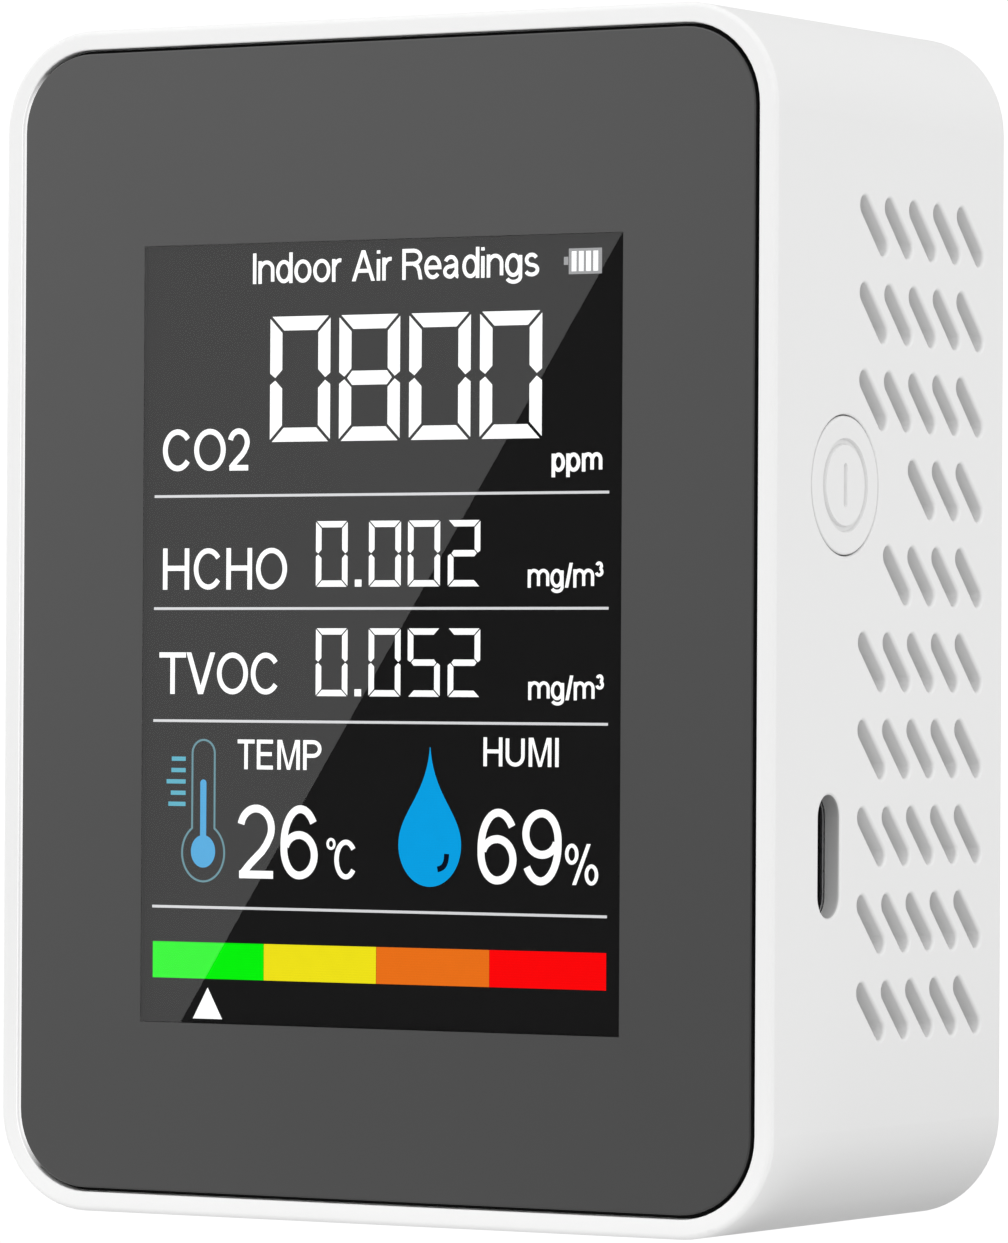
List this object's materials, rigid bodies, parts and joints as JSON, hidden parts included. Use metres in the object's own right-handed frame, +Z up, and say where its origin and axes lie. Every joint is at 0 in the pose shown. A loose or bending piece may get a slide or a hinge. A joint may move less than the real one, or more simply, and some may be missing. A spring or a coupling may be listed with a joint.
{
  "type": "carbon dioxide monitor",
  "caption": "Upright desktop air monitor: rounded white box, dark front panel with a colour screen, slanted side vents, side push button and charging port.",
  "frame": {"origin": "middle of the underside", "axes": "+Z up, screen faces -Y, button and charging port face +X"},
  "size_m": [0.066, 0.0356, 0.088],
  "materials": {
    "shell_white": "satin moulded",
    "panel_grey": "dark grey satin",
    "window_clear": "clear polished",
    "tape_black": "matt foam tape",
    "lcd_black": "gloss black",
    "tray_steel": "bright",
    "foam_grey": "open foam",
    "ribbon_amber": "polyimide film",
    "connector_white": "moulded",
    "connector_black": "moulded",
    "board_green": "solder mask",
    "screw_steel": "plated",
    "port_steel": "drawn shell",
    "switch_black": "moulded",
    "sensor_metal": "satin",
    "membrane_white": "porous film",
    "sensor_blue": "moulded",
    "chip_black": "moulded",
    "coil_grey": "ferrite",
    "ceramic_tan": "fired",
    "cell_foil": "laminate pouch",
    "tape_white": "double sided tape",
    "lead_red": "insulation",
    "lead_black": "insulation",
    "filter_grey": "non-woven"
  },
  "bodies": {
    "housing": {"front_shell": "shell_white", "rear_cover": "shell_white", "front_panel": "panel_grey", "display_window": "window_clear", "panel_tape": "tape_black", "lcd_glass": "lcd_black", "lcd_polariser": "lcd_black", "lcd_backlight": "tray_steel", "lcd_foam": "foam_grey", "lcd_ribbon": "ribbon_amber", "ribbon_socket": "connector_white", "main_board": "board_green", "board_screws": "screw_steel", "case_screws": "screw_steel", "usb_shell": "port_steel", "usb_tongue": "connector_black", "switch_body": "switch_black", "co2_carrier": "board_green", "co2_case": "sensor_metal", "co2_membrane": "membrane_white", "hcho_sensor": "connector_white", "tvoc_sensor": "sensor_metal", "climate_sensor": "sensor_blue", "buzzer": "connector_black", "control_chip": "chip_black", "charger_chip": "chip_black", "power_coil": "coil_grey", "board_capacitors": "ceramic_tan", "battery_cell": "cell_foil", "battery_tape": "tape_white", "battery_socket": "connector_white", "battery_plug": "connector_white", "battery_lead_red": "lead_red", "battery_lead_black": "lead_black", "vent_filter_right": "filter_grey", "vent_filter_left": "filter_grey"},
    "power_button": {"power_button": "shell_white"},
    "switch_plunger": {"switch_plunger": "connector_white"}
  },
  "joints": [
    {"name": "button_press", "type": "slide", "parent": "housing", "child": "power_button", "axis": [-1, 0, 0], "range_m": [0, 0.0004], "stiffness_N_per_m": 60},
    {"name": "plunger_press", "type": "slide", "parent": "housing", "child": "switch_plunger", "axis": [-1, 0, 0], "range_m": [0, 0.0004]}
  ],
  "couplings": [
    {"joint": "plunger_press", "follows": "button_press", "ratio": 1}
  ]
}
